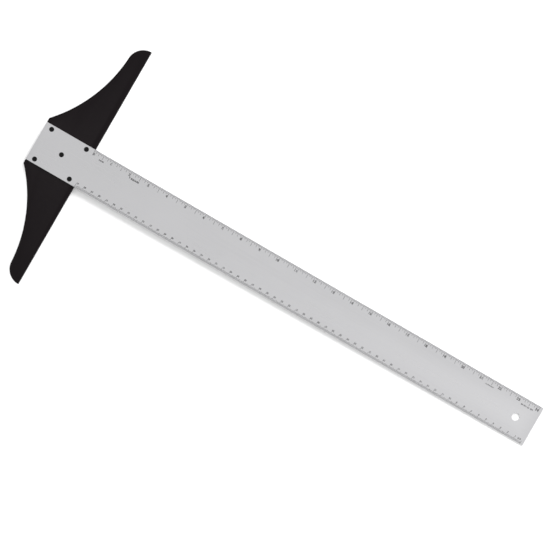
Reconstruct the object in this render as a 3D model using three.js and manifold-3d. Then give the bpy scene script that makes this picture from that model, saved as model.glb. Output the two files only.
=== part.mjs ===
// A 24-inch T-square: an aluminium blade laid across a moulded plastic head and held to it by five
// plastic rivets.
//
// Millimetres, +Z up. The origin is where the blade's centre line crosses the head's working edge, at
// the height of the blade's underside. So the plane z = 0 is the top of the drawing board, and the
// head hangs below it. +X runs along the blade to its free end, and +Y towards the inch scale.
import * as THREE from "three";
import { mergeVertices } from "three/addons/utils/BufferGeometryUtils.js";
import Module from "manifold-3d";

const wasm = await Module();
wasm.setup();

// Driving dimensions
const INCH = 25.4;

const SCALE_LENGTH = 24 * INCH; // from the working edge to the last graduation
const END_MARGIN = 4; // blade beyond the last graduation
const BLADE_WIDTH = 2 * INCH;
const BLADE_THICKNESS = 0.05 * INCH;
const HANG_HOLE = { diameter: 0.375 * INCH, fromEnd: 24 };

const HEAD_LENGTH = 12.5 * INCH; // along the working edge, from wing tip to wing tip
const HEAD_DEPTH = 66.5; // from the working edge back to the blade's end
const HEAD_THICKNESS = 0.1875 * INCH;
const TIP_RADIUS = 20.5; // struck from the working edge
const BACK_ARC = { x: -195.5, y: 149.6, radius: 175.4 }; // hollows the back of each wing
const EDGE_ROUND = 0.8;

// The head is cored out from below, which leaves a skin, walls, ribs and rivet bosses
const SKIN = 2;
const EDGE_WALL = 3.2; // behind the working edge
const BACK_WALL = 2.4;
const RIB = 1.6;
const WING_RIBS = { first: 31, pitch: 26.5, count: 5 };
const BOSS_DIAMETER = 13;

// Rivets: four at the corners of a rectangle and one near its middle
const RIVET_PITCH_X = 1.875 * INCH;
const RIVET_PITCH_Y = 1.6 * INCH;
const RIVET_FRONT_X = -9.5;
const RIVET_CENTRE_X = -32;
const RIVET_HEAD = { diameter: 5.9, land: 0.25, taper: 0.9 }; // flush with the top of the blade
const RIVET_SHANK = 3.4;
const RIVET_TAIL = { diameter: 8, thickness: 1.3, recess: 1.7 };
const CLEARANCE = 0.1; // on the radius, between a rivet and its hole

const ROUND_SIDES = 32;
const ARC_SIDES = 12;
const WELD = 1e-3;
const OVERRUN = 1; // how far a cutter passes a face that it cuts through

const BLADE_END = SCALE_LENGTH + END_MARGIN;
const HEAD_BOTTOM = -HEAD_THICKNESS;
const RIVET_BACK_X = RIVET_FRONT_X - RIVET_PITCH_X;

// Each rivet's place, by the node's name: "upper" is the inch side, "front" the working edge.
const RIVETS = {
  rivet_front_upper: [RIVET_FRONT_X, RIVET_PITCH_Y / 2],
  rivet_front_lower: [RIVET_FRONT_X, -RIVET_PITCH_Y / 2],
  rivet_back_upper: [RIVET_BACK_X, RIVET_PITCH_Y / 2],
  rivet_back_lower: [RIVET_BACK_X, -RIVET_PITCH_Y / 2],
  rivet_centre: [RIVET_CENTRE_X, 0],
};

// Joining and cutting

function toSolid(geometry) {
  const bare = geometry.clone();
  bare.deleteAttribute("normal");
  bare.deleteAttribute("uv");
  const merged = mergeVertices(bare, WELD);
  return new wasm.Manifold(
    new wasm.Mesh({
      numProp: 3,
      vertProperties: merged.attributes.position.array,
      triVerts: new Uint32Array(merged.index.array),
    }),
  );
}

function toGeometry(solid) {
  const { numProp, vertProperties, triVerts } = solid.getMesh();
  const corners = new THREE.InterleavedBuffer(vertProperties, numProp);
  const geometry = new THREE.BufferGeometry();
  geometry.setAttribute("position", new THREE.InterleavedBufferAttribute(corners, 3, 0));
  geometry.setIndex(new THREE.BufferAttribute(triVerts, 1));
  return geometry.toNonIndexed();
}

const at = (solid, [x, y]) => solid.translate([x, y, 0]);

// Basic shapes, each placed by its heights

function block(x0, x1, y0, y1, z0, z1) {
  const box = new THREE.BoxGeometry(x1 - x0, y1 - y0, z1 - z0);
  return toSolid(box.translate((x0 + x1) / 2, (y0 + y1) / 2, (z0 + z1) / 2));
}

function disc(diameter, z0, z1) {
  const cylinder = new THREE.CylinderGeometry(diameter / 2, diameter / 2, z1 - z0, ROUND_SIDES);
  return toSolid(cylinder.rotateX(Math.PI / 2).translate(0, 0, (z0 + z1) / 2));
}

// A turned solid about the Z axis, from [radius, z] points that run from its bottom to its top.
function turned(profile) {
  const points = profile.map(([radius, z]) => new THREE.Vector2(radius, z));
  return toSolid(new THREE.LatheGeometry(points, ROUND_SIDES).rotateX(Math.PI / 2));
}

// The head's outline seen from above, drawn inside its true edge by one gap along the working edge
// and another round the back. The back arcs are struck from outside the head, so they grow.
function headOutline(edgeGap, backGap) {
  const tip = { y: HEAD_LENGTH / 2 - TIP_RADIUS, radius: TIP_RADIUS - backGap };
  const back = { x: BACK_ARC.x, y: BACK_ARC.y, radius: BACK_ARC.radius + backGap };

  // Where the tip's circle meets the back's, by the triangle of their centres and the crossing
  const apart = Math.hypot(back.x, back.y - tip.y);
  const towardsBack = Math.atan2(back.y - tip.y, back.x);
  const turn = Math.acos((tip.radius ** 2 + apart ** 2 - back.radius ** 2) / (2 * tip.radius * apart));
  const neckAngle = towardsBack - turn;
  const neck = new THREE.Vector2(
    tip.radius * Math.cos(neckAngle),
    tip.y + tip.radius * Math.sin(neckAngle),
  );
  const shoulderX = -HEAD_DEPTH + backGap;
  const shoulderY = back.y - Math.sqrt(back.radius ** 2 - (shoulderX - back.x) ** 2);
  const frontAngle = Math.acos(-edgeGap / tip.radius);

  const neckOnBack = Math.atan2(neck.y - back.y, neck.x - back.x);
  const shoulderOnBack = Math.atan2(shoulderY - back.y, shoulderX - back.x);
  const path = new THREE.Path()
    .absarc(0, tip.y, tip.radius, frontAngle, neckAngle, false)
    .absarc(back.x, back.y, back.radius, neckOnBack, shoulderOnBack, true)
    .absarc(back.x, -back.y, back.radius, -shoulderOnBack, -neckOnBack, true)
    .absarc(0, -tip.y, tip.radius, -neckAngle, -frontAngle, false);

  // Arcs that meet give the same point twice, a rounding error apart.
  const points = path.getPoints(ARC_SIDES);
  return new THREE.Shape(points.filter((point, i) => i === 0 || point.distanceTo(points[i - 1]) > WELD));
}

// What the mould takes out of the head's underside: everything inside the walls but the ribs and the
// bosses round the rivets.
function coring() {
  const floor = -SKIN;
  const below = HEAD_BOTTOM - OVERRUN;
  const inside = new THREE.ExtrudeGeometry(headOutline(EDGE_WALL, BACK_WALL), {
    depth: floor - below,
    bevelEnabled: false,
  });
  let cored = toSolid(inside.translate(0, 0, below));

  const keep = (solid) => {
    cored = cored.subtract(solid);
  };
  for (let i = 0; i < WING_RIBS.count; i++) {
    const y = WING_RIBS.first + i * WING_RIBS.pitch;
    const z = [below - OVERRUN, floor + OVERRUN];
    keep(block(-HEAD_DEPTH, 0, y - RIB / 2, y + RIB / 2, ...z));
    keep(block(-HEAD_DEPTH, 0, -y - RIB / 2, -y + RIB / 2, ...z));
  }
  for (const [x, y] of Object.values(RIVETS)) {
    keep(at(disc(BOSS_DIAMETER, below - OVERRUN, floor + OVERRUN), [x, y]));
    if (y !== 0) keep(ribBetween([RIVET_CENTRE_X, 0], [x, y], below - OVERRUN, floor + OVERRUN));
  }
  return cored;
}

// A straight rib of full height from one boss to another.
function ribBetween([x0, y0], [x1, y1], z0, z1) {
  const length = Math.hypot(x1 - x0, y1 - y0);
  const rib = new THREE.BoxGeometry(length, RIB, z1 - z0);
  rib.rotateZ(Math.atan2(y1 - y0, x1 - x0));
  return toSolid(rib.translate((x0 + x1) / 2, (y0 + y1) / 2, (z0 + z1) / 2));
}

// A rivet about the Z axis, grown by a gap on its radius to make the cutter for its own hole. Its tail
// sits in a recess below, so the cutter runs on down to clear the head's underside.
function rivetSolid(gap, tailBottom) {
  const shank = RIVET_SHANK / 2 + gap;
  const head = RIVET_HEAD.diameter / 2 + gap;
  const tail = RIVET_TAIL.diameter / 2 + gap;
  const tailTop = HEAD_BOTTOM + RIVET_TAIL.recess;
  const rise = gap > 0 ? OVERRUN : 0;
  const landBottom = BLADE_THICKNESS - RIVET_HEAD.land;
  return turned([
    [0, tailBottom],
    [tail, tailBottom],
    [tail, tailTop],
    [shank, tailTop],
    [shank, landBottom - RIVET_HEAD.taper],
    [head, landBottom],
    [head, BLADE_THICKNESS + rise],
    [0, BLADE_THICKNESS + rise],
  ]);
}

const rivet = rivetSolid(0, HEAD_BOTTOM + RIVET_TAIL.recess - RIVET_TAIL.thickness);
const rivetHole = rivetSolid(CLEARANCE, HEAD_BOTTOM - OVERRUN);

function bladeSolid() {
  let blade = block(-HEAD_DEPTH, BLADE_END, -BLADE_WIDTH / 2, BLADE_WIDTH / 2, 0, BLADE_THICKNESS);
  const hangHole = disc(HANG_HOLE.diameter, -OVERRUN, BLADE_THICKNESS + OVERRUN);
  blade = blade.subtract(at(hangHole, [BLADE_END - HANG_HOLE.fromEnd, 0]));
  for (const place of Object.values(RIVETS)) blade = blade.subtract(at(rivetHole, place));
  return blade;
}

function headSolid() {
  const moulding = new THREE.ExtrudeGeometry(headOutline(0, 0), {
    depth: HEAD_THICKNESS - 2 * EDGE_ROUND,
    bevelThickness: EDGE_ROUND,
    bevelSize: EDGE_ROUND,
    bevelOffset: -EDGE_ROUND,
    bevelSegments: 2,
  });
  let head = toSolid(moulding.translate(0, 0, HEAD_BOTTOM + EDGE_ROUND)).subtract(coring());
  for (const place of Object.values(RIVETS)) head = head.subtract(at(rivetHole, place));
  return head;
}

// Materials

const aluminium = new THREE.MeshStandardMaterial({ color: 0xc9c9cb, roughness: 0.42, metalness: 0.9 });
const blackPlastic = new THREE.MeshStandardMaterial({ color: 0x212021, roughness: 0.6, metalness: 0 });
const rivetPlastic = new THREE.MeshStandardMaterial({ color: 0x141414, roughness: 0.5, metalness: 0 });

// Assembly

const tSquare = new THREE.Group();

function addPart(name, geometry, material, [x, y] = [0, 0]) {
  const mesh = new THREE.Mesh(geometry, material);
  mesh.name = name;
  mesh.position.set(x, y, 0);
  tSquare.add(mesh);
}

addPart("blade", toGeometry(bladeSolid()), aluminium);
addPart("head", toGeometry(headSolid()), blackPlastic);
for (const [name, place] of Object.entries(RIVETS)) {
  addPart(name, toGeometry(rivet), rivetPlastic, place);
}

export default tSquare;
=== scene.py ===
# %% [markdown]
# # A drawing-office T-square, built around its CAD frame
#
# The tool is a thin aluminium blade riveted across a black moulded head. The blade is a ruler as
# well: inches run along one edge and centimetres along the other. Nothing on it moves.
#
# The frame comes first. It holds every real size, so each piece below takes its place from it. All
# lengths are in metres, +X runs along the blade to its free end, and z = 0 is the blade's
# underside.

# %% Load the frame
import math

import bpy
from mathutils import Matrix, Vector


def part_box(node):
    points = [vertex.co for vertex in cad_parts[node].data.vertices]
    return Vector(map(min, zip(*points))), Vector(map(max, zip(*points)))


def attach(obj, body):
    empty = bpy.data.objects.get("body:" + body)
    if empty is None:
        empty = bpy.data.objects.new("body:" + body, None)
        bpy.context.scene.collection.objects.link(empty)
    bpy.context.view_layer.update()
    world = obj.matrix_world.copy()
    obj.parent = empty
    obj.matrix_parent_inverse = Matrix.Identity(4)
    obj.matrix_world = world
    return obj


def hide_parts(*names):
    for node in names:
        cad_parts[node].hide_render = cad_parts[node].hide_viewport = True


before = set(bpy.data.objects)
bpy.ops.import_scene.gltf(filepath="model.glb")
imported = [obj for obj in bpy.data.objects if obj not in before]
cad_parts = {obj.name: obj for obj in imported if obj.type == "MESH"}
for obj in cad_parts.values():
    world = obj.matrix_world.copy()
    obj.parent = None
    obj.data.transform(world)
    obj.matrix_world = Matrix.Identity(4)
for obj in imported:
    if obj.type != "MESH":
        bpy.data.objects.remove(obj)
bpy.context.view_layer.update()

MM = 0.001
INCH = 25.4 * MM
BODY = "root"

# %% [markdown]
# ## Sizes that the frame gives
#
# A CAD node's box says where its faces are. The blade's box gives its ends, edges and top, and the
# head's gives its depth, length and underside. The rivets' centres are the middles of their boxes.

# %% Sizes from the frame
blade_low, blade_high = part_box("blade")
head_low, head_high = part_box("head")
RIVET_NODES = sorted(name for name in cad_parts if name.startswith("rivet_"))

BACK_END, FREE_END = blade_low.x, blade_high.x
HALF_WIDTH = blade_high.y
BLADE_TOP = blade_high.z
HEAD_DEPTH = -head_low.x
HALF_HEAD = head_high.y
HEAD_BOTTOM = head_low.z


def middle(node):
    """The middle of a CAD node in plan, at the height of the blade's underside."""
    low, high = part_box(node)
    return Vector(((low.x + high.x) / 2, (low.y + high.y) / 2, 0))


rivet_centres = {name: middle(name) for name in RIVET_NODES}
for name, centre in rivet_centres.items():
    print(name, [round(value / MM, 2) for value in centre])

# %% [markdown]
# ## Writing node trees as Python
#
# Shader trees and Geometry Nodes trees are both graphs of nodes joined by links. Two small classes
# make them short to write. `Graph.node` adds any node from its type, its settings and its sockets.
# `Wire` wraps an output, so that `1 - mask * 0.5` adds the Math nodes that work it out.

# %% The two helper classes


class Wire:
    """An output socket. Python's operators on it add Math nodes to its tree."""

    def __init__(self, graph, socket):
        self.graph, self.socket = graph, socket

    def maths(self, operation, *values):
        return self.graph.node("ShaderNodeMath", {"operation": operation}, dict(enumerate(values)))

    def output(self, name):
        return Wire(self.graph, self.socket.node.outputs[name])

    def __add__(self, other):
        return self.maths("ADD", self, other)

    def __sub__(self, other):
        return self.maths("SUBTRACT", self, other)

    def __rsub__(self, other):
        return self.maths("SUBTRACT", other, self)

    def __mul__(self, other):
        return self.maths("MULTIPLY", self, other)

    def __mod__(self, other):
        return self.maths("FLOORED_MODULO", self, other)

    def __lt__(self, other):
        return self.maths("LESS_THAN", self, other)

    __radd__, __rmul__ = __add__, __mul__


class Graph:
    """A node tree that is built by calls."""

    def __init__(self, tree):
        self.tree = tree

    def node(self, kind, settings=None, sockets=None, output=0):
        made = self.tree.nodes.new(kind)
        for name, value in (settings or {}).items():
            setattr(made, name, value)
        for key, value in (sockets or {}).items():
            for one in value if isinstance(value, list) else [value]:
                if isinstance(one, Wire):
                    self.tree.links.new(one.socket, made.inputs[key])
                else:
                    made.inputs[key].default_value = one
        return Wire(self, made.outputs[output]) if made.outputs else made


# %% [markdown]
# ## Running a Geometry Nodes tree
#
# A tree here has named inputs for its sizes, so it reads like a drawing's title block. `new_tree`
# makes one. `grow` puts it on an object as a modifier, fills its inputs in by their identifiers,
# keeps what the tree makes as a plain mesh, and takes the modifier off again.

# %% Making and running trees
SOCKET_KINDS = {
    float: "NodeSocketFloat",
    int: "NodeSocketInt",
    str: "NodeSocketString",
    Vector: "NodeSocketVector",
    bpy.types.Object: "NodeSocketObject",
    bpy.types.Material: "NodeSocketMaterial",
}


def new_tree(name, inputs):
    """A tree with a geometry input and output, and one more input for each name and kind given."""
    tree = bpy.data.node_groups.new(name, "GeometryNodeTree")
    tree.interface.new_socket("Geometry", in_out="INPUT", socket_type="NodeSocketGeometry")
    tree.interface.new_socket("Geometry", in_out="OUTPUT", socket_type="NodeSocketGeometry")
    for label, kind in inputs.items():
        tree.interface.new_socket(label, in_out="INPUT", socket_type=SOCKET_KINDS[kind])
    graph = Graph(tree)
    given = graph.node("NodeGroupInput")
    labels = [item.name for item in given.socket.node.outputs if item.name]
    return graph, {label: given.output(label) for label in labels}


def close_tree(graph, geometry, material):
    """Ends a tree as the export needs it: real geometry, with its material set."""
    real = graph.node("GeometryNodeRealizeInstances", {}, {"Geometry": geometry})
    finished = graph.node("GeometryNodeSetMaterial", {}, {"Geometry": real, "Material": material})
    graph.node("NodeGroupOutput", {}, {"Geometry": finished})
    print(f"the {graph.tree.name} tree has {len(graph.tree.nodes)} nodes")


def grow(obj, graph, values):
    """Runs a tree on an object, and keeps the result as its plain mesh."""
    if not obj.users_collection:
        bpy.context.scene.collection.objects.link(obj)
    modifier = obj.modifiers.new(graph.tree.name, "NODES")
    modifier.node_group = graph.tree
    for item in graph.tree.interface.items_tree:
        if item.in_out == "INPUT" and item.name in values:
            modifier[item.identifier] = values[item.name]
    depsgraph = bpy.context.evaluated_depsgraph_get()
    made = bpy.data.meshes.new_from_object(obj.evaluated_get(depsgraph))
    obj.modifiers.clear()
    obj.data = made
    made.name = obj.name
    print(f"{obj.name}: {graph.tree.name} made {len(made.polygons)} faces")
    return obj


# %% [markdown]
# ## Solids from stacked rings
#
# A plate with rounded edges, a pocket with a fillet and a turned rivet are all one kind of shape: a
# stack of rings with the same number of points, closed by a flat cap at each end. The rings run
# anticlockwise about the direction of the stack, and then every face points outwards.

# %% The ring builder


def loft(name, rings):
    """An unlinked object with a closed mesh through the rings, from the first to the last."""
    count = len(rings[0])
    points = [point for ring in rings for point in ring]
    last = len(points) - count
    faces = [tuple(reversed(range(count))), tuple(range(last, len(points)))]
    for start in range(0, last, count):
        for i in range(count):
            j = (i + 1) % count
            faces.append((start + i, start + j, start + count + j, start + count + i))
    mesh = bpy.data.meshes.new(name)
    mesh.from_pydata(points, [], faces)
    return bpy.data.objects.new(name, mesh)


def quarter(steps):
    """(sine, cosine) pairs over a quarter turn, both ends included, for roundings and fillets."""
    angles = [math.pi / 2 * i / steps for i in range(steps + 1)]
    return [(math.sin(angle), math.cos(angle)) for angle in angles]


def turned(name, profile, sides=48):
    """A solid of revolution about Z, from (radius, z) points that go up its outside."""
    turns = [2 * math.pi * i / sides for i in range(sides)]
    rings = [[(r * math.cos(a), r * math.sin(a), z) for a in turns] for r, z in profile]
    return loft(name, rings)


def points_object(name, places):
    """An object that only holds points, for a tree to put things on."""
    mesh = bpy.data.meshes.new(name)
    mesh.from_pydata([tuple(place) for place in places], [], [])
    return bpy.data.objects.new(name, mesh)


# %% [markdown]
# ## Drilling
#
# Every hole is made like a hole in the workshop: a cutter is set on a centre and what it touches is
# taken away. The tree puts one cutter on each point and subtracts them all at once with a boolean.

# %% The drilling tree
drilling, given = new_tree(
    "drilling",
    {"Cutter": bpy.types.Object, "Centres": bpy.types.Object, "Material": bpy.types.Material},
)


def geometry_of(graph, obj):
    return graph.node("GeometryNodeObjectInfo", {}, {"Object": obj}, output="Geometry")


def on_points(graph, points, instance, **more):
    sockets = {"Points": points, "Instance": geometry_of(graph, instance)}
    return graph.node("GeometryNodeInstanceOnPoints", {}, {**sockets, **more})


def cut(graph, solid, cutters):
    """The solid with the cutters taken away. The cutters may overlap one another."""
    settings = {"operation": "DIFFERENCE", "solver": "EXACT"}
    sockets = {"Mesh 1": solid, "Mesh 2": cutters, "Self Intersection": True}
    return graph.node("GeometryNodeMeshBoolean", settings, sockets)


cutters = on_points(drilling, geometry_of(drilling, given["Centres"]), given["Cutter"])
close_tree(drilling, cut(drilling, given["Geometry"], [cutters]), given["Material"])


def drill(piece, cutter, centres, material):
    """Takes the cutter out of a piece at every centre."""
    grow(piece, drilling, {"Cutter": cutter, "Centres": centres, "Material": material})


# %% [markdown]
# ## Finish: satin aluminium
#
# The blade is cut from rolled, anodised strip. Rolling leaves a fine grain along its length, and
# anodising turns the shine into a soft satin. Noise stretched about a hundredfold along X gives the
# grain, and a slow noise varies the tone a little, as real sheet does. Both read Object
# coordinates, which are the CAD's own, so the grain follows the blade.

# %% Aluminium
METAL_TONES = (0.636, 0.634, 0.648), (0.736, 0.734, 0.748)


def new_material(name):
    material = bpy.data.materials.new(name)
    material.use_nodes = True
    material.node_tree.nodes.clear()
    return material, Graph(material.node_tree)


def noise(graph, scale, detail=2.0, stretch=(1, 1, 1)):
    """Noise on the object's own coordinates: scale is its cells per metre, before the stretch."""
    place = graph.node("ShaderNodeTexCoord", {}, {}, output="Object")
    spread = graph.node("ShaderNodeMapping", {}, {"Vector": place, "Scale": stretch})
    sockets = {"Vector": spread, "Scale": scale, "Detail": detail}
    return graph.node("ShaderNodeTexNoise", {}, sockets)


def blend_colours(graph, factor, first, second):
    """A colour between two, by a factor from 0 to 1."""
    # A Mix node has sockets for every kind of data: 6, 7 and output 2 are the colours
    sockets = {0: factor, 6: (*first, 1), 7: (*second, 1)}
    return graph.node("ShaderNodeMix", {"data_type": "RGBA"}, sockets, output=2)


def edge_wear(graph):
    """How worn the surface is, from 0 on its flats to 1 on its edges."""
    return graph.node("ShaderNodeAttribute", {"attribute_name": "edge_wear"}, {}, output="Fac")


def finish_surface(graph, sockets, bump_height, bump_depth):
    """Ends a material: a bump node on the normal, the surface and the output."""
    bump = {"Height": bump_height, "Distance": bump_depth, "Strength": 1.0}
    sockets["Normal"] = graph.node("ShaderNodeBump", {}, bump)
    surface = graph.node("ShaderNodeBsdfPrincipled", {}, sockets)
    graph.node("ShaderNodeOutputMaterial", {}, {"Surface": surface})


def satin_aluminium():
    material, graph = new_material("satin_aluminium")
    grain = noise(graph, 5000, detail=3, stretch=(0.008, 1, 1))
    streaks = noise(graph, 700, stretch=(0.01, 1, 1))
    cloud = noise(graph, 14)
    worn = edge_wear(graph)
    tone = 0.5 + (grain - 0.5) * 0.9 + (streaks - 0.5) * 0.5 + (cloud - 0.5) * 0.4 + worn * 0.6
    sockets = {
        "Base Color": blend_colours(graph, tone, *METAL_TONES),
        "Metallic": 1.0,
        "Roughness": 0.4 + (grain - 0.5) * 0.16 + (cloud - 0.5) * 0.08 - worn * 0.1,
    }
    finish_surface(graph, sockets, grain + streaks * 0.5, 0.004 * MM)
    return material


ALUMINIUM = satin_aluminium()
print(ALUMINIUM.name, "has", len(ALUMINIUM.node_tree.nodes), "nodes")

# %% [markdown]
# ## Finish: black plastics and ink
#
# The head comes from a spark-textured mould, so it has a fine pebbled surface. Handling polishes
# the edges first, which shows as a slightly lighter, smoother arris. The `edge_wear` attribute says
# where that is: it is worked out below from how sharply the mesh turns. The rivets are smoother,
# and the ink is a thin matt film whose density varies a little, as screen printing does.

# %% Plastics and ink
HEAD_TONES = (0.0027, 0.0013, 0.0019), (0.0100, 0.0080, 0.0088)
RIVET_TONES = (0.002, 0.002, 0.002), (0.007, 0.007, 0.0072)
INK_TONES = (0.012, 0.012, 0.013), (0.035, 0.035, 0.037)


def moulded_plastic(name, tones, roughness, pebble_depth):
    material, graph = new_material(name)
    pebbles = noise(graph, 2600)
    flow = noise(graph, 30)
    rubbed = edge_wear(graph) * (0.4 + 0.8 * noise(graph, 220, detail=3))
    sockets = {
        "Base Color": blend_colours(graph, 0.35 * pebbles + 0.3 * flow + 0.5 * rubbed, *tones),
        "Roughness": roughness + (pebbles - 0.5) * 0.12 + (flow - 0.5) * 0.08 - rubbed * 0.15,
        "Specular IOR Level": 0.12,
    }
    finish_surface(graph, sockets, pebbles, pebble_depth)
    return material


def printing_ink():
    material, graph = new_material("printing_ink")
    density = noise(graph, 3500, detail=3)
    sockets = {
        "Base Color": blend_colours(graph, density, *INK_TONES),
        "Roughness": 0.5 + density * 0.2,
        "Specular IOR Level": 0.3,
    }
    finish_surface(graph, sockets, density, 0.004 * MM)
    return material


HEAD_PLASTIC = moulded_plastic(
    "textured_black_plastic", HEAD_TONES, roughness=0.6, pebble_depth=0.03 * MM
)
RIVET_PLASTIC = moulded_plastic(
    "smooth_black_plastic", RIVET_TONES, roughness=0.48, pebble_depth=0.008 * MM
)
INK = printing_ink()
for material in (HEAD_PLASTIC, RIVET_PLASTIC, INK):
    print(material.name, "has", len(material.node_tree.nodes), "nodes")

# %% [markdown]
# ## Edges and shading
#
# Two things make a machined or moulded edge look right. The normals of the rounding have to start
# level with the flat beside it, which a Weighted Normal modifier does, because the big flat face
# outweighs the small ones. And the wear has to know where the edges are, so each point stores how
# sharply the mesh turns outwards there. Full wear is at a little less than one step of a rounding.

# %% Finishing a solid piece
SHARP = math.radians(38)
FULL_WEAR_TURN = math.radians(16)


def store_edge_wear(mesh):
    """Writes the edge_wear attribute: 0 on flats and in hollows, 1 on outward edges."""
    normals = [face.normal.copy() for face in mesh.polygons]
    centres = [face.center.copy() for face in mesh.polygons]
    faces_of = {}
    for face in mesh.polygons:
        for key in face.edge_keys:
            faces_of.setdefault(key, []).append(face.index)
    wear = [0.0] * len(mesh.vertices)
    for (start, end), faces in faces_of.items():
        if len(faces) != 2:
            continue
        one, two = faces
        outward = normals[one].dot(centres[two] - centres[one]) < 0
        turn = normals[one].angle(normals[two], 0.0) if outward else 0.0
        for vertex in (start, end):
            wear[vertex] = max(wear[vertex], min(1.0, turn / FULL_WEAR_TURN))
    attribute = mesh.attributes.new("edge_wear", "FLOAT", "POINT")
    attribute.data.foreach_set("value", wear)


def finish_piece(obj, slot, *nodes):
    """Shades a finished solid, hangs it on the frame and hides the CAD nodes it stands for."""
    mesh = obj.data
    store_edge_wear(mesh)
    mesh.shade_smooth()
    mesh.set_sharp_from_angle(angle=SHARP)
    shading = obj.modifiers.new("shading", "WEIGHTED_NORMAL")
    shading.keep_sharp = True
    shading.weight = 80
    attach(obj, BODY)
    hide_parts(*nodes)


# %% [markdown]
# ## The blade
#
# The blade is a sheared strip, two inches wide, with its arrises just broken. The ring builder
# makes it as a rounded rectangle that shrinks by a small gap at top and bottom. The printed ink has
# a real thickness, so the metal stops that much below the CAD's top and the print comes level with
# it.

# %% The blade's plate
INK_FILM = 0.03 * MM
ARRIS = 0.18 * MM
ARRIS_STEPS = 4
CORNER = 0.6 * MM
CORNER_STEPS = 6
BLADE_SUPPORT = 0.2 * MM
METAL_TOP = BLADE_TOP - INK_FILM


def blade_outline(gap):
    """The blade's rectangle with rounded corners, drawn a gap inside its edge, as (x, y) points."""
    left, right, top = BACK_END + CORNER, FREE_END - CORNER, HALF_WIDTH - CORNER
    corners = [(right, top, 0), (left, top, 1), (left, -top, 2), (right, -top, 3)]
    reach = CORNER - gap
    points = []
    for x, y, turns in corners:
        for i in range(CORNER_STEPS + 1):
            angle = math.pi / 2 * (turns + i / CORNER_STEPS)
            points.append((x + reach * math.cos(angle), y + reach * math.sin(angle)))
    return points


def rounded_stack(outline, bottom, top, radius, steps, support):
    """Rings for a plate with both arrises rounded, and a support ring inside each flat."""
    levels = [(radius + support, bottom)]
    levels += [(radius * (1 - s), bottom + radius * (1 - c)) for s, c in quarter(steps)]
    levels += [(radius * (1 - s), top - radius * (1 - c)) for s, c in reversed(quarter(steps))]
    levels += [(radius + support, top)]
    return [[(x, y, z) for x, y in outline(gap)] for gap, z in levels]


blade_rings = rounded_stack(blade_outline, 0, METAL_TOP, ARRIS, ARRIS_STEPS, BLADE_SUPPORT)
blade = loft("ruled_blade", blade_rings)
print("blade, mm:", round((FREE_END - BACK_END) / MM, 1), "x", round(2 * HALF_WIDTH / MM, 1))

# %% [markdown]
# ### Its holes
#
# A hang hole goes through near the free end, and five countersunk holes take the rivets. A drilled
# hole that has been deburred flares by a hair at each face, so the cutters are turned with the same
# flare.

# %% Cutters for the holes
OVERRUN = 1 * MM
DEBURR = 0.15 * MM
HANG_HOLE_RADIUS = 0.1875 * INCH
HANG_HOLE_FROM_END = 24 * MM
RIVET_HEAD_RADIUS = 2.95 * MM
RIVET_SHANK_RADIUS = 1.7 * MM
RIVET_LAND = 0.25 * MM
RIVET_TAPER = 0.9 * MM
CLEARANCE = 0.08 * MM


def hole_profile(radius):
    """A straight hole through the blade, flared by the deburring at both faces."""
    flared = radius + DEBURR
    lower = [(flared, -OVERRUN), (flared, 0), (radius, DEBURR)]
    upper = [(radius, METAL_TOP - DEBURR), (flared, METAL_TOP), (flared, METAL_TOP + OVERRUN)]
    return lower + upper


hang_cutter = turned("hang_cutter", hole_profile(HANG_HOLE_RADIUS), sides=64)
hang_centre = points_object("hang_centre", [(FREE_END - HANG_HOLE_FROM_END, 0, 0)])

head_radius = RIVET_HEAD_RADIUS + CLEARANCE
shank_radius = RIVET_SHANK_RADIUS + CLEARANCE
countersink_cutter = turned(
    "countersink_cutter",
    [
        (shank_radius, HEAD_BOTTOM - OVERRUN),
        (shank_radius, BLADE_TOP - RIVET_LAND - RIVET_TAPER),
        (head_radius, BLADE_TOP - RIVET_LAND),
        (head_radius, BLADE_TOP + OVERRUN),
    ],
)
rivet_points = points_object("rivet_points", rivet_centres.values())
print(len(rivet_centres), "rivet holes, countersunk to", round(2 * head_radius / MM, 2), "mm")

# %% Drill the blade and finish it
drill(blade, hang_cutter, hang_centre, ALUMINIUM)
drill(blade, countersink_cutter, rivet_points, ALUMINIUM)
finish_piece(blade, "blade_aluminium", "blade")

# %% [markdown]
# ## The head's outline
#
# Seen from above, the head is drawn with two arcs on each wing. Nearly a quarter circle, struck
# from the working edge, rounds the tip. A large arc, struck from outside, hollows the back. A
# plate's roundings and a pocket's walls follow the same outline a little further in, so the outline
# takes a gap. The tip's circle then shrinks and the back's grows, and where the two cross comes
# from their triangle of centres.

# %% Outline of the head
TIP_RADIUS = 20.5 * MM
TIP_Y = HALF_HEAD - TIP_RADIUS
BACK_X, BACK_Y, BACK_RADIUS = -195.5 * MM, 149.6 * MM, 175.4 * MM
TIP_STEPS, BACK_STEPS = 28, 40


def arc(x, y, radius, start, end, steps):
    """Points along an arc, both ends included."""
    angles = [start + (end - start) * i / steps for i in range(steps + 1)]
    return [(x + radius * math.cos(a), y + radius * math.sin(a)) for a in angles]


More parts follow.
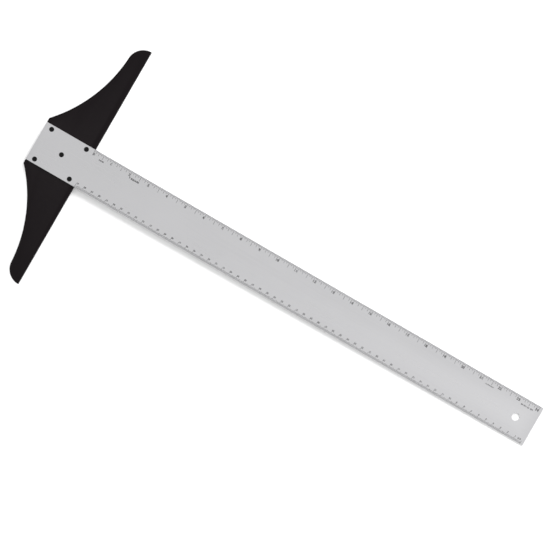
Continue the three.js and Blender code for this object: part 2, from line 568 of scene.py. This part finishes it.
def head_outline(back_gap, front_gap=None):
    """The head's outline drawn a gap inside its edge. The working edge can have its own gap."""
    front_gap = back_gap if front_gap is None else front_gap
    tip_radius = TIP_RADIUS - back_gap
    back_radius = BACK_RADIUS + back_gap
    apart = math.hypot(BACK_X, BACK_Y - TIP_Y)
    towards_back = math.atan2(BACK_Y - TIP_Y, BACK_X)
    turn = math.acos((tip_radius**2 + apart**2 - back_radius**2) / (2 * tip_radius * apart))
    neck_angle = towards_back - turn
    neck_x = tip_radius * math.cos(neck_angle)
    neck_y = TIP_Y + tip_radius * math.sin(neck_angle)
    shoulder_x = back_gap - HEAD_DEPTH
    shoulder_y = BACK_Y - math.sqrt(back_radius**2 - (shoulder_x - BACK_X) ** 2)

    front_angle = math.acos(-front_gap / tip_radius)
    from_neck = math.atan2(neck_y - BACK_Y, neck_x - BACK_X)
    to_shoulder = math.atan2(shoulder_y - BACK_Y, shoulder_x - BACK_X)
    tip = arc(0, TIP_Y, tip_radius, front_angle, neck_angle, TIP_STEPS)
    back = arc(BACK_X, BACK_Y, back_radius, from_neck, to_shoulder, BACK_STEPS)
    wing = tip + back[1:]
    return wing + [(x, -y) for x, y in reversed(wing)]


print("points in the head's outline:", len(head_outline(0)))

# %% [markdown]
# ## The head's body and what is cored out of it
#
# The moulding is a plate with rounded edges. Thick plastic sinks as it cools, so a mould cores such
# a plate out from below and leaves an even skin with walls, ribs and bosses. All of those stand up
# in the same way: a soft rounding at the foot's edge and a fillet where they meet the skin. One
# profile holds that, and the pocket, the ribs and the bosses all use it.

# %% The head's solids
EDGE_ROUND = 0.8 * MM
EDGE_STEPS = 5
HEAD_SUPPORT = 0.4 * MM
SKIN = 2 * MM
EDGE_WALL, BACK_WALL = 3.2 * MM, 2.4 * MM
RIB_HALF = 0.8 * MM
BOSS_RADIUS = 6.5 * MM
FOOT_ROUND, FOOT_STEPS = 0.25 * MM, 3
FILLET, FILLET_STEPS = 0.6 * MM, 4

head_rings = rounded_stack(head_outline, HEAD_BOTTOM, 0, EDGE_ROUND, EDGE_STEPS, HEAD_SUPPORT)
head = loft("moulded_head", head_rings)

# (how far the wall spreads, height), from below the head's underside to its cored ceiling
standing = [(-FOOT_ROUND, HEAD_BOTTOM - OVERRUN)]
standing += [
    (FOOT_ROUND * (s - 1), HEAD_BOTTOM + FOOT_ROUND * (1 - c)) for s, c in quarter(FOOT_STEPS)
]
standing += [(FILLET * (1 - c), -SKIN - FILLET * (1 - s)) for s, c in quarter(FILLET_STEPS)]
into_skin = standing + [(FILLET, -SKIN + OVERRUN)]


def pocket_ring(spread, z):
    return [(x, y, z) for x, y in head_outline(BACK_WALL + spread, EDGE_WALL + spread)]


pocket = loft("pocket", [pocket_ring(spread, z) for spread, z in standing])
boss = turned("boss", [(BOSS_RADIUS + spread, z) for spread, z in into_skin])
one_side = [(RIB_HALF + spread, z) for spread, z in into_skin]
rib_section = one_side + [(-y, z) for y, z in reversed(one_side)]
rib_ends = [[(x, y, z) for y, z in rib_section] for x in (0.0, 1.0)]  # stretched to length later
rib = loft("rib", rib_ends)
print("rings in the pocket:", len(standing), "points round a rib:", len(rib_section))

# %% [markdown]
# ## Ribs and bosses that repeat
#
# Five ribs cross each wing at an even pitch, a boss stands round every rivet, and a rib ties each
# corner boss to the middle one. Geometry Nodes suit this: a line of points carries the wing ribs,
# and the rivets' own points carry the bosses and the tie ribs, each turned to face the middle. All
# of them are taken out of the pocket, and what is left of the pocket is taken out of the head.

# %% The coring tree
coring, given = new_tree(
    "coring",
    {
        "Pocket": bpy.types.Object,
        "Rib": bpy.types.Object,
        "Boss": bpy.types.Object,
        "Rivets": bpy.types.Object,
        "Middle": Vector,
        "First rib": float,
        "Rib pitch": float,
        "Ribs on a wing": int,
        "Depth": float,
        "Tie end": float,
        "Material": bpy.types.Material,
    },
)


def vector(graph, x=0.0, y=0.0, z=0.0):
    return graph.node("ShaderNodeCombineXYZ", {}, {"X": x, "Y": y, "Z": z})


def vector_maths(graph, operation, sockets, output=0):
    return graph.node("ShaderNodeVectorMath", {"operation": operation}, sockets, output)


def row_of_points(graph, count, offset, start=(0, 0, 0)):
    """Points in a straight line: the first at the start, and each next one an offset further on."""
    sockets = {"Count": count, "Start Location": start, "Offset": offset}
    return graph.node("GeometryNodeMeshLine", {}, sockets)


rib_rows = [
    row_of_points(
        coring,
        given["Ribs on a wing"],
        offset=vector(coring, y=given["Rib pitch"] * side),
        start=vector(coring, 0 - given["Depth"], given["First rib"] * side),
    )
    for side in (1, -1)
]
full_depth = vector(coring, given["Depth"], 1.0, 1.0)
wing_ribs = [on_points(coring, row, given["Rib"], Scale=full_depth) for row in rib_rows]

rivets = geometry_of(coring, given["Rivets"])
here = coring.node("GeometryNodeInputPosition")
to_middle = vector_maths(coring, "SUBTRACT", {0: given["Middle"], 1: here})
distance = vector_maths(coring, "LENGTH", {0: to_middle}, output="Value")
facing = coring.node("FunctionNodeAlignRotationToVector", {"axis": "X"}, {"Vector": to_middle})
tie_ribs = on_points(
    coring,
    rivets,
    given["Rib"],
    Selection=1 - (distance < given["Tie end"]),
    Rotation=facing,
    Scale=vector(coring, distance - given["Tie end"], 1.0, 1.0),
)
bosses = on_points(coring, rivets, given["Boss"])
core = cut(coring, geometry_of(coring, given["Pocket"]), [*wing_ribs, tie_ribs, bosses])
close_tree(coring, cut(coring, given["Geometry"], [core]), given["Material"])

# %% Core the head, drill it and finish it
TAIL_RADIUS, TAIL_THICKNESS, TAIL_RECESS = 4 * MM, 1.3 * MM, 1.7 * MM

grow(
    head,
    coring,
    {
        "Pocket": pocket,
        "Rib": rib,
        "Boss": boss,
        "Rivets": rivet_points,
        "Middle": rivet_centres["rivet_centre"],
        "First rib": 31 * MM,
        "Rib pitch": 26.5 * MM,
        "Ribs on a wing": 5,
        "Depth": HEAD_DEPTH,
        "Tie end": 3 * MM,
        "Material": HEAD_PLASTIC,
    },
)
recess = TAIL_RADIUS + CLEARANCE
recess_top = HEAD_BOTTOM + TAIL_RECESS
recess_cutter = turned(
    "recess_cutter",
    [
        (recess + FOOT_ROUND, HEAD_BOTTOM - OVERRUN),
        (recess + FOOT_ROUND, HEAD_BOTTOM),
        (recess, HEAD_BOTTOM + FOOT_ROUND),
        (recess, recess_top),
        (shank_radius, recess_top),
        (shank_radius, OVERRUN),
    ],
)
drill(head, recess_cutter, rivet_points, HEAD_PLASTIC)
finish_piece(head, "head_plastic", "head")

# %% [markdown]
# ## The rivets
#
# A plastic rivet goes in from above with its countersunk head flush, and its tail is spread with
# heat in the recess below, which leaves a mushroom with soft corners. It is a turned shape, so one
# profile makes it. The tool that sets it leaves a shallow dish in the top. A tree puts one on each
# rivet's point.

# %% One rivet and its five places
RIM_ROUND, RIM_STEPS = 0.12 * MM, 3
DISH_RADIUS, DISH_DEPTH = 1.1 * MM, 0.08 * MM
RIVET_TOP = METAL_TOP - 0.02 * MM  # a hair below the metal round it
TAIL_ROUND, TAIL_STEPS = 0.45 * MM, 4
TAIL_CROWN_RADIUS, TAIL_CROWN = 1.6 * MM, 0.06 * MM
TAIL_TOP = recess_top - 0.01 * MM  # a hair below the recess's ceiling
tail_bottom = recess_top - TAIL_THICKNESS

profile = [(TAIL_CROWN_RADIUS, tail_bottom - TAIL_CROWN)]
profile += [
    (TAIL_RADIUS - TAIL_ROUND * (1 - s), tail_bottom + TAIL_ROUND * (1 - c))
    for s, c in quarter(TAIL_STEPS)
]
profile += [
    (TAIL_RADIUS, TAIL_TOP),
    (RIVET_SHANK_RADIUS, TAIL_TOP),
    (RIVET_SHANK_RADIUS, BLADE_TOP - RIVET_LAND - RIVET_TAPER),
    (RIVET_HEAD_RADIUS, BLADE_TOP - RIVET_LAND),
]
profile += [
    (RIVET_HEAD_RADIUS - RIM_ROUND * (1 - c), RIVET_TOP - RIM_ROUND * (1 - s))
    for s, c in quarter(RIM_STEPS)
]
profile += [
    (DISH_RADIUS, RIVET_TOP),
    (DISH_RADIUS - 2 * DISH_DEPTH, RIVET_TOP - DISH_DEPTH),
]
rivet = turned("rivet", profile, sides=40)

riveting, given = new_tree("riveting", {"Rivet": bpy.types.Object, "Material": bpy.types.Material})
placed = on_points(riveting, given["Geometry"], given["Rivet"])
close_tree(riveting, placed, given["Material"])

rivet_set = points_object("plastic_rivets", rivet_centres.values())
grow(rivet_set, riveting, {"Rivet": rivet, "Material": RIVET_PLASTIC})
finish_piece(rivet_set, "rivet_plastic", *RIVET_NODES)

# %% [markdown]
# ## The graduations
#
# A scale is one line repeated at an even pitch, and some of its lines are longer. The inch scale
# runs from the head in sixteenths, with longer lines for eighths, quarters, halves and inches. The
# other edge runs the other way in millimetres, with longer lines at every fifth and tenth. The tree
# counts along a row of points, and the remainder of the count picks the length.

# %% The graduation tree
LEVELS = ("a", "b", "c", "d")
graduating, given = new_tree(
    "graduating",
    {
        "Lines": int,
        "Pitch": float,
        "Line width": float,
        "Film": float,
        "Shortest": float,
        **{f"Every {level}": int for level in LEVELS},
        **{f"Length {level}": float for level in LEVELS},
        "Zero": Vector,
        "Turn": float,
        "Material": bpy.types.Material,
    },
)
index = graduating.node("GeometryNodeInputIndex")
length = given["Shortest"]
for level in LEVELS:
    on_level = (index % given[f"Every {level}"]) < 0.5
    length = length * (1 - on_level) + given[f"Length {level}"] * on_level

row = row_of_points(graduating, given["Lines"], offset=vector(graduating, given["Pitch"]))
inward = graduating.node(
    "GeometryNodeSetPosition",
    {},
    {"Geometry": row, "Offset": vector(graduating, 0.0, length * -0.5, given["Film"] * 0.5)},
)
lines = graduating.node(
    "GeometryNodeInstanceOnPoints",
    {},
    {
        "Points": inward,
        "Instance": graduating.node("GeometryNodeMeshCube"),
        "Scale": vector(graduating, given["Line width"], length, given["Film"]),
    },
)


def close_printing_tree(graph, geometry, given):
    """Turns ink about Z to face its reader, moves it to where it starts, and ends the tree."""
    turn = vector(graph, z=given["Turn"])
    rotation = graph.node("FunctionNodeEulerToRotation", {}, {"Euler": turn})
    sockets = {"Geometry": geometry, "Translation": given["Zero"], "Rotation": rotation}
    placed = graph.node("GeometryNodeTransform", {}, sockets)
    close_tree(graph, placed, given["Material"])


close_printing_tree(graduating, lines, given)

# %% [markdown]
# ## The numerals
#
# The numbers repeat as the lines do, but each one is different. A For Each zone runs once for each
# point of a row: it turns the point's number into text, fills the letters' curves and gives them
# the thickness of the ink. Each number ends just before its own line, as on most rules.

# %% The numeral tree
LETTER_STEPS = 4  # points along each curve of a letter
WELD = 0.001 * MM


def printed(graph, text, given, spacing, align):
    """Text as a thin closed film of ink. The weight is what each stroke gains on either side."""
    settings = {"align_x": align, "align_y": "MIDDLE"}
    sockets = {"String": text, "Size": given["Letter size"], "Character Spacing": spacing}
    letters = graph.node("GeometryNodeStringToCurves", settings, sockets)
    real = graph.node("GeometryNodeRealizeInstances", {}, {"Geometry": letters})
    stepped = {"Geometry": real, "Resolution": LETTER_STEPS}
    coarse = graph.node("GeometryNodeSetSplineResolution", {}, stepped)
    loops = graph.node("GeometryNodeResampleCurve", {"mode": "EVALUATED"}, {"Curve": coarse})
    along = graph.node("GeometryNodeInputTangent")
    up = vector(graph, z=1.0)
    across = vector_maths(graph, "CROSS_PRODUCT", {0: along, 1: up})
    outward = vector_maths(graph, "SCALE", {0: across, "Scale": given["Weight"]})
    bold = graph.node("GeometryNodeSetPosition", {}, {"Geometry": loops, "Offset": outward})
    filled = graph.node("GeometryNodeFillCurve", {"mode": "TRIANGLES"}, {"Curve": bold})
    raise_by_film = {"Mesh": filled, "Offset Scale": given["Film"], "Individual": False}
    raised = graph.node("GeometryNodeExtrudeMesh", {}, raise_by_film)
    underside = graph.node("GeometryNodeFlipFaces", {}, {"Mesh": filled})
    both = graph.node("GeometryNodeJoinGeometry", {}, {"Geometry": [raised, underside]})
    return graph.node("GeometryNodeMergeByDistance", {}, {"Geometry": both, "Distance": WELD})


numbering, given = new_tree(
    "numbering",
    {
        "Numbers": int,
        "Pitch": float,
        "Letter size": float,
        "Weight": float,
        "Film": float,
        "Before line": float,
        "From edge": float,
        "Zero": Vector,
        "Turn": float,
        "Material": bpy.types.Material,
    },
)
row = row_of_points(
    numbering,
    given["Numbers"],
    offset=vector(numbering, given["Pitch"]),
    start=vector(numbering, given["Pitch"] - given["Before line"], 0 - given["From edge"]),
)
zone_in = numbering.tree.nodes.new("GeometryNodeForeachGeometryElementInput")
zone_out = numbering.tree.nodes.new("GeometryNodeForeachGeometryElementOutput")
zone_in.pair_with_output(zone_out)
zone_out.domain = "POINT"
zone_out.input_items.new("VECTOR", "Place")
place = numbering.node("GeometryNodeInputPosition")
numbering.tree.links.new(row.socket, zone_in.inputs["Geometry"])
numbering.tree.links.new(place.socket, zone_in.inputs["Place"])

number = Wire(numbering, zone_in.outputs["Index"]) + 1
its_place = Wire(numbering, zone_in.outputs["Place"])
text = numbering.node("FunctionNodeValueToString", {}, {"Value": number})
letters = printed(numbering, text, given, spacing=1.0, align="RIGHT")
moved = numbering.node("GeometryNodeTransform", {}, {"Geometry": letters, "Translation": its_place})

# What the zone makes goes in by its item's name. It comes out last but for the empty spare socket.
generation = zone_out.generation_items[0].name
numbering.tree.links.new(moved.socket, zone_out.inputs[generation])
numbers = Wire(numbering, zone_out.outputs[-2])
close_printing_tree(numbering, numbers, given)

# %% [markdown]
# ## Words
#
# The blade also carries a few small words. They stay generic: what the tool is, what its scales
# measure, what the blade is made of and how long it is. The tree is the numerals' without the zone,
# with the text as an input.

# %% The word tree
wording, given = new_tree(
    "wording",
    {
        "Text": str,
        "Letter size": float,
        "Spacing": float,
        "Weight": float,
        "Film": float,
        "Zero": Vector,
        "Turn": float,
        "Material": bpy.types.Material,
    },
)
letters = printed(wording, given["Text"], given, spacing=given["Spacing"], align="CENTER")
close_printing_tree(wording, letters, given)

# %% [markdown]
# ## Printing the blade
#
# Both scales are printed with the same trees and different numbers, which is the point of giving a
# tree named inputs. The centimetre scale is turned by half a turn, so that it reads from the other
# side.

# %% From trees to printed pieces
ink = {"Film": INK_FILM, "Material": INK}


def longer_lines(rows):
    """The tree's levels, from (every, length in mm) rows. Spare levels repeat the last row."""
    rows = rows + rows[-1:] * (len(LEVELS) - len(rows))
    sizes = {}
    for level, (every, length) in zip(LEVELS, rows):
        sizes[f"Every {level}"] = every
        sizes[f"Length {level}"] = length * MM
    return sizes


def empty_object(name):
    return bpy.data.objects.new(name, bpy.data.meshes.new(name))


def join_pieces(name, parts):
    """Joins finished ink into one piece and hangs it on the frame."""
    count = len(parts)
    with bpy.context.temp_override(active_object=parts[0], selected_editable_objects=parts):
        bpy.ops.object.join()
    whole = parts[0]
    whole.name = whole.data.name = name
    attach(whole, BODY)
    print(name, "has", len(whole.data.polygons), "faces from", count, "meshes")


def print_scale(name, place, lines, numbers):
    line_ink = grow(empty_object("lines"), graduating, {**place, **lines})
    number_ink = grow(empty_object("numbers"), numbering, {**place, **numbers})
    join_pieces(name, [line_ink, number_ink])


# %% Print the inch scale
LAST_INCH, LINES_PER_INCH = 24, 16

inch_place = {"Zero": Vector((0, HALF_WIDTH - ARRIS, METAL_TOP)), "Turn": 0.0, **ink}
inch_lines = {
    "Lines": LAST_INCH * LINES_PER_INCH + 1,
    "Pitch": INCH / LINES_PER_INCH,
    "Line width": 0.34 * MM,
    "Shortest": 2.3 * MM,
    **longer_lines([(2, 3.4), (4, 4.9), (8, 6.9), (16, 7.4)]),
}
inch_numbers = {
    "Numbers": LAST_INCH,
    "Pitch": INCH,
    "Letter size": 4.1 * MM,
    "Weight": 0.13 * MM,
    "Before line": 0.15 * MM,
    "From edge": 5.5 * MM,
}
print_scale("inch_scale", inch_place, inch_lines, inch_numbers)

# %% Print the centimetre scale
LAST_CENTIMETRE, LINES_PER_CENTIMETRE = 61, 10
CENTIMETRE = LINES_PER_CENTIMETRE * MM
HALF_TURN = math.pi

centimetre_zero = Vector((LAST_CENTIMETRE * CENTIMETRE, ARRIS - HALF_WIDTH, METAL_TOP))
centimetre_place = {"Zero": centimetre_zero, "Turn": HALF_TURN, **ink}
centimetre_lines = {
    "Lines": LAST_CENTIMETRE * LINES_PER_CENTIMETRE + 1,
    "Pitch": MM,
    "Line width": 0.3 * MM,
    "Shortest": 2.5 * MM,
    **longer_lines([(5, 3.2), (10, 4)]),
}
centimetre_numbers = {
    "Numbers": LAST_CENTIMETRE,
    "Pitch": CENTIMETRE,
    "Letter size": 2.9 * MM,
    "Weight": 0.1 * MM,
    "Before line": 0.1 * MM,
    "From edge": 5.3 * MM,
}
print_scale("centimetre_scale", centimetre_place, centimetre_lines, centimetre_numbers)

# %% Print the words
# (text, place along the blade, depth in from the edge, letter size, letter spacing, stroke weight);
# the lengths are in millimetres
INCH_SIDE_WORDS = [
    ("0", 1.3, 5.5, 4.1, 1.0, 0.13),
    ("INCHES", 12.6, 8.5, 1.9, 1.0, 0.12),
    ("T SQUARE", 57.5, 8.8, 2.6, 1.15, 0.19),
    ("ALUMINIUM", 544.3, 8.8, 1.8, 1.15, 0.07),
    ("24 IN / 61 CM", 595.6, 8.8, 2.2, 1.2, 0.16),
]
CENTIMETRE_SIDE_WORDS = [("CM", 606.4, 5.3, 2.9, 1.0, 0.1)]


def word(row, edge, turn):
    """One printed word from its row of numbers, read from the blade's edge at y = edge."""
    text, x, depth, size, spacing, weight = row
    depth_inwards = -math.copysign(depth * MM, edge)
    values = {
        "Text": text,
        "Letter size": size * MM,
        "Spacing": spacing,
        "Weight": weight * MM,
        "Zero": Vector((x * MM, edge + depth_inwards, METAL_TOP)),
        "Turn": turn,
        **ink,
    }
    return grow(empty_object("word"), wording, values)


words = [word(row, HALF_WIDTH, 0.0) for row in INCH_SIDE_WORDS]
words += [word(row, -HALF_WIDTH, HALF_TURN) for row in CENTIMETRE_SIDE_WORDS]
join_pieces("printed_words", words)

# %% [markdown]
# ## Floor
#
# Put down on a table, the tool stands on its head's working edge and leans over until the free end
# touches. The floor follows those two lines of contact, so it slopes by under half a degree.

# %% The floor
FLOOR_REACH = 6.0
slope = -HEAD_BOTTOM / FREE_END


def floor_point(x, y):
    return x, y, HEAD_BOTTOM + slope * x


signs = [(-1, -1), (1, -1), (1, 1), (-1, 1)]
corners = [floor_point(FLOOR_REACH * along, FLOOR_REACH * across) for along, across in signs]
floor_mesh = bpy.data.meshes.new("floor")
floor_mesh.from_pydata(corners, [], [(0, 1, 2, 3)])
floor = bpy.data.objects.new("floor", floor_mesh)
bpy.context.scene.collection.objects.link(floor)
paper, graph = new_material("white_paper")
white = {"Base Color": (0.95, 0.95, 0.95, 1), "Roughness": 0.9}
surface = graph.node("ShaderNodeBsdfPrincipled", {}, white)
graph.node("ShaderNodeOutputMaterial", {}, {"Surface": surface})
floor_mesh.materials.append(paper)
print("floor slope, degrees:", round(math.degrees(math.atan(slope)), 3))

# %% [markdown]
# ## Light
#
# A pale surround lights everything evenly. Bare metal shows what is round it, so the surround is a
# little brighter towards the free end, and the satin blade takes a slow change of tone from that.
# One large soft light from beyond the inch edge throws the blade's shadow towards the other side.
# It is kept out of reflections, where it would burn the metal out. Light linking lets it pass
# through the head, so that only the blade casts a shadow.

# %% The surround
DIM_SIDE, BRIGHT_SIDE = 0.7, 1.05
BRIGHTER_FROM, BRIGHTER_TO = 0.03, 0.15  # how far the direction leans towards the free end

world = bpy.data.worlds.new("studio")
world.use_nodes = True
world.node_tree.nodes.clear()
graph = Graph(world.node_tree)
direction = graph.node("ShaderNodeTexCoord", {}, {}, output="Generated")
lean = graph.node("ShaderNodeSeparateXYZ", {}, {"Vector": direction}, output="X")
ramp = {
    "Value": lean,
    "From Min": BRIGHTER_FROM,
    "From Max": BRIGHTER_TO,
    "To Min": DIM_SIDE,
    "To Max": BRIGHT_SIDE,
}
strength = graph.node("ShaderNodeMapRange", {"interpolation_type": "SMOOTHSTEP"}, ramp)
surround = graph.node("ShaderNodeBackground", {}, {"Color": (1, 1, 1, 1), "Strength": strength})
graph.node("ShaderNodeOutputWorld", {}, {"Surface": surround})
bpy.context.scene.world = world
print("surround's strength:", DIM_SIDE, "to", BRIGHT_SIDE)

# %% The soft light
LAMP_SIZE, LAMP_DISTANCE, LAMP_WATTS = 1.3, 2.2, 71
TOWARDS_LAMP = Vector((-0.15, 1, 0.5)).normalized()

lamp_data = bpy.data.lights.new("soft_light", "AREA")
lamp_data.shape = "SQUARE"
lamp_data.size = LAMP_SIZE
lamp_data.energy = LAMP_WATTS
lamp = bpy.data.objects.new("soft_light", lamp_data)
blade_middle = Vector(((BACK_END + FREE_END) / 2, 0, 0))
lamp.location = blade_middle + LAMP_DISTANCE * TOWARDS_LAMP
lamp.rotation_euler = (-TOWARDS_LAMP).to_track_quat("-Z", "Y").to_euler()
lamp.visible_glossy = False
bpy.context.scene.collection.objects.link(lamp)

blockers = bpy.data.collections.new("blockers")
blockers.objects.link(head)
blockers.collection_objects[0].light_linking.link_state = "EXCLUDE"
lamp.light_linking.blocker_collection = blockers
print("soft light, degrees above the board:", round(math.degrees(math.asin(TOWARDS_LAMP.z)), 1))

# %% [markdown]
# ## Camera
#
# The camera looks straight down through a long lens, so that the ruler's edges stay parallel. It is
# rolled so that the blade runs down to the right.

# %% Camera
ROLL = math.radians(29.98)
AIM = Vector((258.6, 3.05, 0)) * MM
FRAME_WIDTH = 652.2 * MM  # what the picture's width covers, at the blade's top
LENS, SENSOR_WIDTH = 150, 36  # in millimetres, as Blender takes them

camera_data = bpy.data.cameras.new("camera")
camera_data.lens = LENS
camera_data.sensor_width = SENSOR_WIDTH
height = FRAME_WIDTH * LENS / SENSOR_WIDTH
camera = bpy.data.objects.new("camera", camera_data)
camera.location = AIM + Vector((0, 0, BLADE_TOP + height))
camera.rotation_euler = (0, 0, ROLL)
bpy.context.scene.collection.objects.link(camera)
bpy.context.scene.camera = camera
bpy.context.scene.view_settings.view_transform = "Standard"
print("camera height, m:", round(height, 3))
